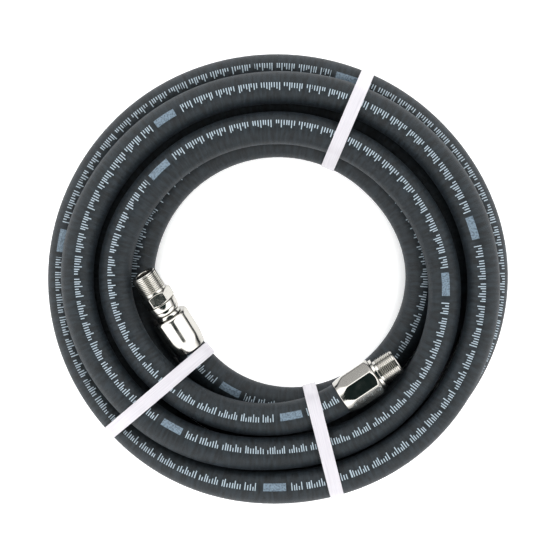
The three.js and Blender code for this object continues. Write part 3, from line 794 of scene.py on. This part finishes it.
def swivel_nipple():
    """The turning end: socket, collar, hexagon and male thread, one outline all round."""
    hex_start = SWIVEL_FACE + SWIVEL_COLLAR_LENGTH
    hex_end = hex_start + SWIVEL_HEX_LENGTH
    start = hex_end + THREAD_RELIEF
    tip = start + THREAD_LENGTH
    segments = 144
    flats = flats_round(SWIVEL_HEX_FLATS, 6, math.pi / 2, segments)
    rows = crown([
        (SPIGOT_OUTER / 2 + FIT, SWIVEL_FACE + SPIGOT_LENGTH), (SPIGOT_OUTER / 2 + FIT, SWIVEL_FACE),
        (SWIVEL_COLLAR_OUTER / 2, SWIVEL_FACE), (SWIVEL_COLLAR_OUTER / 2, hex_start - 0.2),
        (SWIVEL_HEX_FLATS / 2 - 0.3, hex_start),
    ], 0.5)[4:]
    plain = np.arange(hex_start + 0.15, hex_end - 2.2, 0.8)
    chamfered = np.arange(hex_end - 2.2, hex_end, 0.2)
    for height in np.concatenate([plain, chamfered]):
        low = SWIVEL_COLLAR_OUTER / 2 - 0.9 + (height - hex_start) * 2.0
        high = SWIVEL_HEX_FLATS / 2 - 0.4 + (hex_end - height) * 1.3
        rows.append((softer_of(flats, low, high, blend=0.08), height))
    core = crown([
        (SWIVEL_HEX_FLATS / 2 - 0.6, hex_end), (THREAD_OUTER / 2 - THREAD_DEPTH, hex_end),
        *thread_core(start),
        (FLOW_BORE / 2 + 0.8, tip), (FLOW_BORE / 2, tip - 0.8), (FLOW_BORE / 2, SWIVEL_FACE + SPIGOT_LENGTH),
        (SPIGOT_OUTER / 2 + FIT, SWIVEL_FACE + SPIGOT_LENGTH),
    ], 0.35)
    # The socket's bottom corner closes the outline; without it the bore's wall would cut the spigot
    socket_bottom = (SPIGOT_OUTER / 2 + FIT, SWIVEL_FACE + SPIGOT_LENGTH)
    body = wound("swivel_nipple_body", rows + core[:-4] + [socket_bottom], NICKEL, segments)
    return threaded(body, start, "swivelling_nipple")


fixed_ferrule = ferrule("crimped_ferrule_fixed", FIXED_FERRULE_LENGTH, math.pi / 2, FERRULE_TURNED + 0.2)
swivel_ferrule = ferrule(
    "crimped_ferrule_swivel", SWIVEL_FERRULE_LENGTH, math.pi / 2 + math.pi / 8, FERRULE_TURNED - 1.2,
)
rigid_nipple = fixed_nipple()
stem = swivel_stem()
turning_nipple = swivel_nipple()
for made in (fixed_ferrule, rigid_nipple):
    place_on_axis(made, FIXED_ORIGIN, FIXED_AXIS)
for made in (swivel_ferrule, stem, turning_nipple):
    place_on_axis(made, SWIVEL_ORIGIN, SWIVEL_AXIS)


# Straps
def convex(points):
    """The corners of the taut outline round a set of flat points."""
    points = sorted(map(tuple, points))

    def chain_of(ordered):
        chain = []
        for p in ordered:
            while len(chain) > 1 and (
                (chain[-1][0] - chain[-2][0]) * (p[1] - chain[-2][1])
                - (chain[-1][1] - chain[-2][1]) * (p[0] - chain[-2][0])
            ) <= 1e-9:
                chain.pop()
            chain.append(p)
        return chain[:-1]

    return np.array(chain_of(points) + chain_of(points[::-1]))


def strap(name, angle, aside):
    """A flat band drawn tight round the turns, its edges rounded."""
    outward = on_plan(np.float64(angle), 1.0)
    across = np.array([outward[1], -outward[0], 0.0])
    points = route - SHIFT
    along = np.gradient(points, axis=0)
    along /= np.linalg.norm(along, axis=1)[:, None]
    side = np.cross([0, 0, 1], along)
    side /= np.linalg.norm(side, axis=1)[:, None]
    up = np.cross(along, side)
    radius = HOSE_OUTER / 2 + BAND_PROUD
    rings = np.concatenate([
        points + radius * (math.cos(a) * side + math.sin(a) * up) for a in np.arange(64) * math.pi / 32
    ])
    # The band is fitted over a little more hose than it covers, so that its edges clear a slanting turn
    near = (rings @ outward > 0) & (np.abs(rings @ across - aside) < STRAP_WIDTH / 2 + BAND_FITTED_BEYOND)
    inner = convex(np.stack([rings[near] @ outward, rings[near][:, 2]], -1))
    steps = np.linalg.norm(np.roll(inner, -1, 0) - inner, axis=1)
    fine = []
    for here, there, step in zip(inner, np.roll(inner, -1, 0), steps):
        parts = max(1, int(step // 3))
        fine += [here + (there - here) * k / parts for k in range(parts)]
    fine = np.array(fine)
    tangent = np.roll(fine, -1, 0) - np.roll(fine, 1, 0)
    tangent /= np.linalg.norm(tangent, axis=1)[:, None]
    normal = np.stack([tangent[:, 1], -tangent[:, 0]], -1)
    half, edge = STRAP_WIDTH / 2, BAND_EDGE
    low, top = BAND_PROUD, BAND_PROUD + BAND_THICKNESS
    section = [
        (-half + edge, low), (-half, low + edge), (-half, top - edge), (-half + edge, top),
        (0, top + BAND_CROWN),
        (half - edge, top), (half, top - edge), (half, low + edge), (half - edge, low),
    ]
    count, sides = len(fine), len(section)
    run = np.concatenate([[0], np.cumsum(np.linalg.norm(np.roll(fine, -1, 0) - fine, axis=1))])
    verts = []
    for here, out in zip(fine, normal):
        for sideways, proud in section:
            flat = here + out * proud
            verts.append(outward * flat[0] + across * (aside + sideways) + np.array([0, 0, flat[1]]))
    faces, uv = [], []
    for i in range(count):
        j = (i + 1) % count
        for k in range(sides):
            m = (k + 1) % sides
            faces.append((i * sides + k, j * sides + k, j * sides + m, i * sides + m))
            v0, v1 = section[k][0] * MM, section[m][0] * MM
            uv += [(run[i] * MM, v0), (run[i + 1] * MM, v0), (run[i + 1] * MM, v1), (run[i] * MM, v1)]
    return mesh_object(name, np.array(verts) + SHIFT, faces, uv, STRAPPING)


bands = {node: strap(node.replace("strap", "band"), *place) for node, place in STRAPS.items()}


# What rides on what
for made, node, slot in (
    (hose, "hose", "cover_rubber"), (fixed_ferrule, "fixed_ferrule", "plated_metal"),
    (rigid_nipple, "fixed_nipple", "plated_metal"), (swivel_ferrule, "swivel_ferrule", "plated_metal"),
    (stem, "swivel_stem", "plated_metal"), (turning_nipple, "swivel_nipple", "plated_metal"),
    *((band, node, "strap_plastic") for node, band in bands.items()),
):
    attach(made, "swivel_end" if node == "swivel_nipple" else "coil")
    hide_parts(node)
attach(layline, "coil")


# Floor, light and camera
def studio():
    """A white table, white walls and a dark patch overhead."""
    reach = TABLE_REACH / MM
    corners = [(-reach, -reach, 0), (reach, -reach, 0), (reach, reach, 0), (-reach, reach, 0)]
    floor = mesh_object("floor", corners, [(0, 1, 2, 3)])
    material = bpy.data.materials.new("white_table")
    material.use_nodes = True
    shader = material.node_tree.nodes["Principled BSDF"]
    shader.inputs["Base Color"].default_value = linear("#f7f7f7")
    shader.inputs["Roughness"].default_value = 0.35
    shader.inputs["Emission Color"].default_value = (1.0, 1.0, 1.0, 1.0)
    # The table glows softly, except under the coil's own turns
    ground = material.node_tree
    place = add(ground, "ShaderNodeTexCoord").outputs["Object"]
    away = add(ground, "ShaderNodeVectorMath", {0: place}, operation="LENGTH").outputs["Value"]
    outside = add(ground, "ShaderNodeMapRange", {
        "Value": away, "From Min": GLOW_OUTSIDE[0], "From Max": GLOW_OUTSIDE[1],
    }).outputs[0]
    inside = add(ground, "ShaderNodeMapRange", {
        "Value": away, "From Min": GLOW_INSIDE[0], "From Max": GLOW_INSIDE[1],
        "To Min": 1.0, "To Max": 0.0,
    }).outputs[0]
    open_part = add(ground, "ShaderNodeMath", {0: outside, 1: inside}, operation="ADD").outputs[0]
    glow = add(ground, "ShaderNodeMath", {0: open_part, 1: TABLE_GLOW}, operation="MULTIPLY").outputs[0]
    ground.links.new(glow, shader.inputs["Emission Strength"])
    floor.data.materials.append(material)
    # White walls all round and a dark patch overhead, where the photographer stands
    world = bpy.data.worlds.new("studio")
    bpy.context.scene.world = world
    world.use_nodes = True
    tree = world.node_tree
    away = add(tree, "ShaderNodeTexCoord").outputs["Generated"]
    up = add(tree, "ShaderNodeSeparateXYZ", {0: away}).outputs["Z"]
    patch = add(tree, "ShaderNodeMapRange", {
        "Value": up, "From Min": 0.79, "From Max": 0.84,
    }, interpolation_type="SMOOTHSTEP").outputs[0]
    # The soft boxes stand above the table's rim; towards the horizon the room is dimmer
    high = add(tree, "ShaderNodeMapRange", {
        "Value": up, "From Min": 0.1, "From Max": 0.5, "To Min": 0.75, "To Max": 2.3,
    }, interpolation_type="SMOOTHSTEP").outputs[0]
    colour = add(tree, "ShaderNodeMix", {
        "Factor": patch, "A": (1.0, 1.0, 1.0, 1.0), "B": linear("#15201f"),
    }, data_type="RGBA").outputs["Result"]
    background = tree.nodes["Background"]
    tree.links.new(colour, background.inputs["Color"])
    tree.links.new(high, background.inputs["Strength"])


def camera():
    """Straight down on the coil, as the photograph was taken."""
    data = bpy.data.cameras.new("camera")
    data.sensor_width = SENSOR_WIDTH
    data.sensor_fit = "HORIZONTAL"
    wide = PIXEL_SIZE * PHOTO_PIXELS * MM
    data.lens = SENSOR_WIDTH * (CAMERA_HEIGHT - SHARP_HEIGHT) / wide
    made = bpy.data.objects.new("camera", data)
    made.location = ((SHIFT[0] + CAMERA_ASIDE[0]) * MM, (SHIFT[1] + CAMERA_ASIDE[1]) * MM, CAMERA_HEIGHT)
    bpy.context.scene.collection.objects.link(made)
    bpy.context.scene.camera = made


studio()
camera()
view = bpy.context.scene.view_settings
view.view_transform = "Standard"
view.look = "None"
view.gamma = 0.88
view.exposure = 0.1
